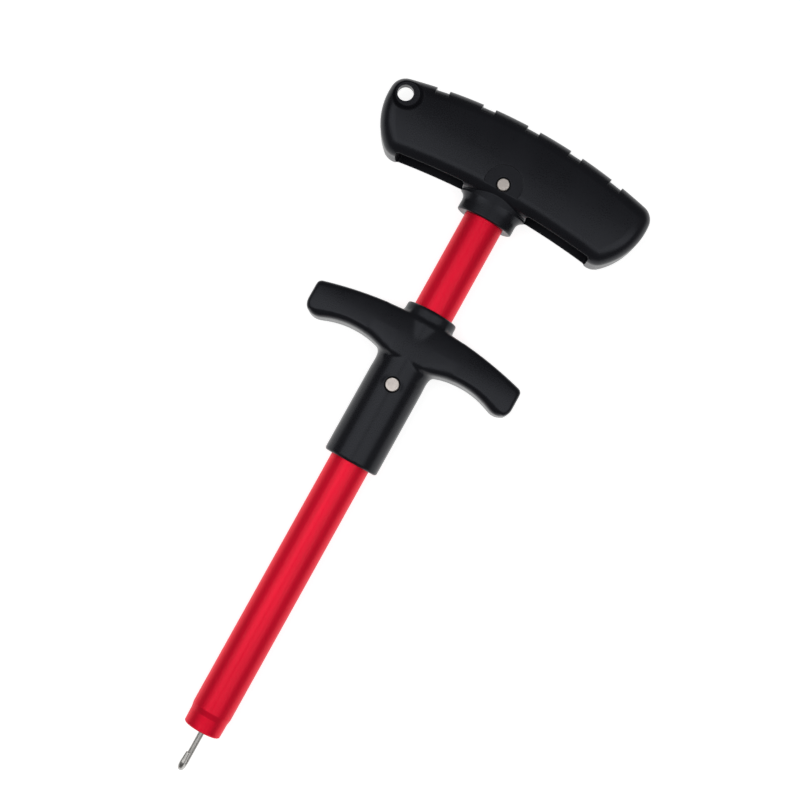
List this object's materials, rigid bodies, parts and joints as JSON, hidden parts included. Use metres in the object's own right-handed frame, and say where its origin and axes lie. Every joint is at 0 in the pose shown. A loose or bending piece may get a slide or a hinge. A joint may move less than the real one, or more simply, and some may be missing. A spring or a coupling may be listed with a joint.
{
  "type": "squeeze-handle fish hook remover",
  "caption": "T-handled fish hook remover: squeezing the finger pull towards the palm grip draws a wire hook back into a slim red tube against a spring.",
  "frame": {"origin": "bottom centre of the tool's box: the tool lies on its back, so the lowest line of the palm grip's back is at z = 0", "axes": "+Y along the tube from the hook towards the palm grip, +X along the palm grip, +Z out of the front face, where the pin ends show"},
  "size_m": [0.0892, 0.221, 0.0186],
  "materials": {
    "black_moulding": "satin moulded black",
    "red_anodised_tube": "bright red anodised, drawn",
    "pin_steel": "cut pin ends",
    "washer_steel": "stamped",
    "spring_steel": "drawn spring wire",
    "stainless_wire": "drawn stainless wire",
    "natural_acetal": "natural acetal"
  },
  "bodies": {
    "frame": {"grip_handle": "black_moulding", "outer_tube": "red_anodised_tube", "handle_pin": "pin_steel", "tube_plug": "natural_acetal", "rod_guide": "natural_acetal", "spring_washer_upper": "washer_steel", "return_spring": "spring_steel"},
    "slider": {"slider_handle": "black_moulding", "slider_pin": "pin_steel", "plunger": "natural_acetal", "hook_rod": "stainless_wire", "spring_washer_lower": "washer_steel"}
  },
  "joints": [
    {"name": "squeeze_slide", "type": "slide", "parent": "frame", "child": "slider", "axis": [0, 1, 0], "range_m": [0, 0.02], "stiffness_N_per_m": 400, "springref_m": -0.0068, "deforming": ["return_spring"]}
  ]
}
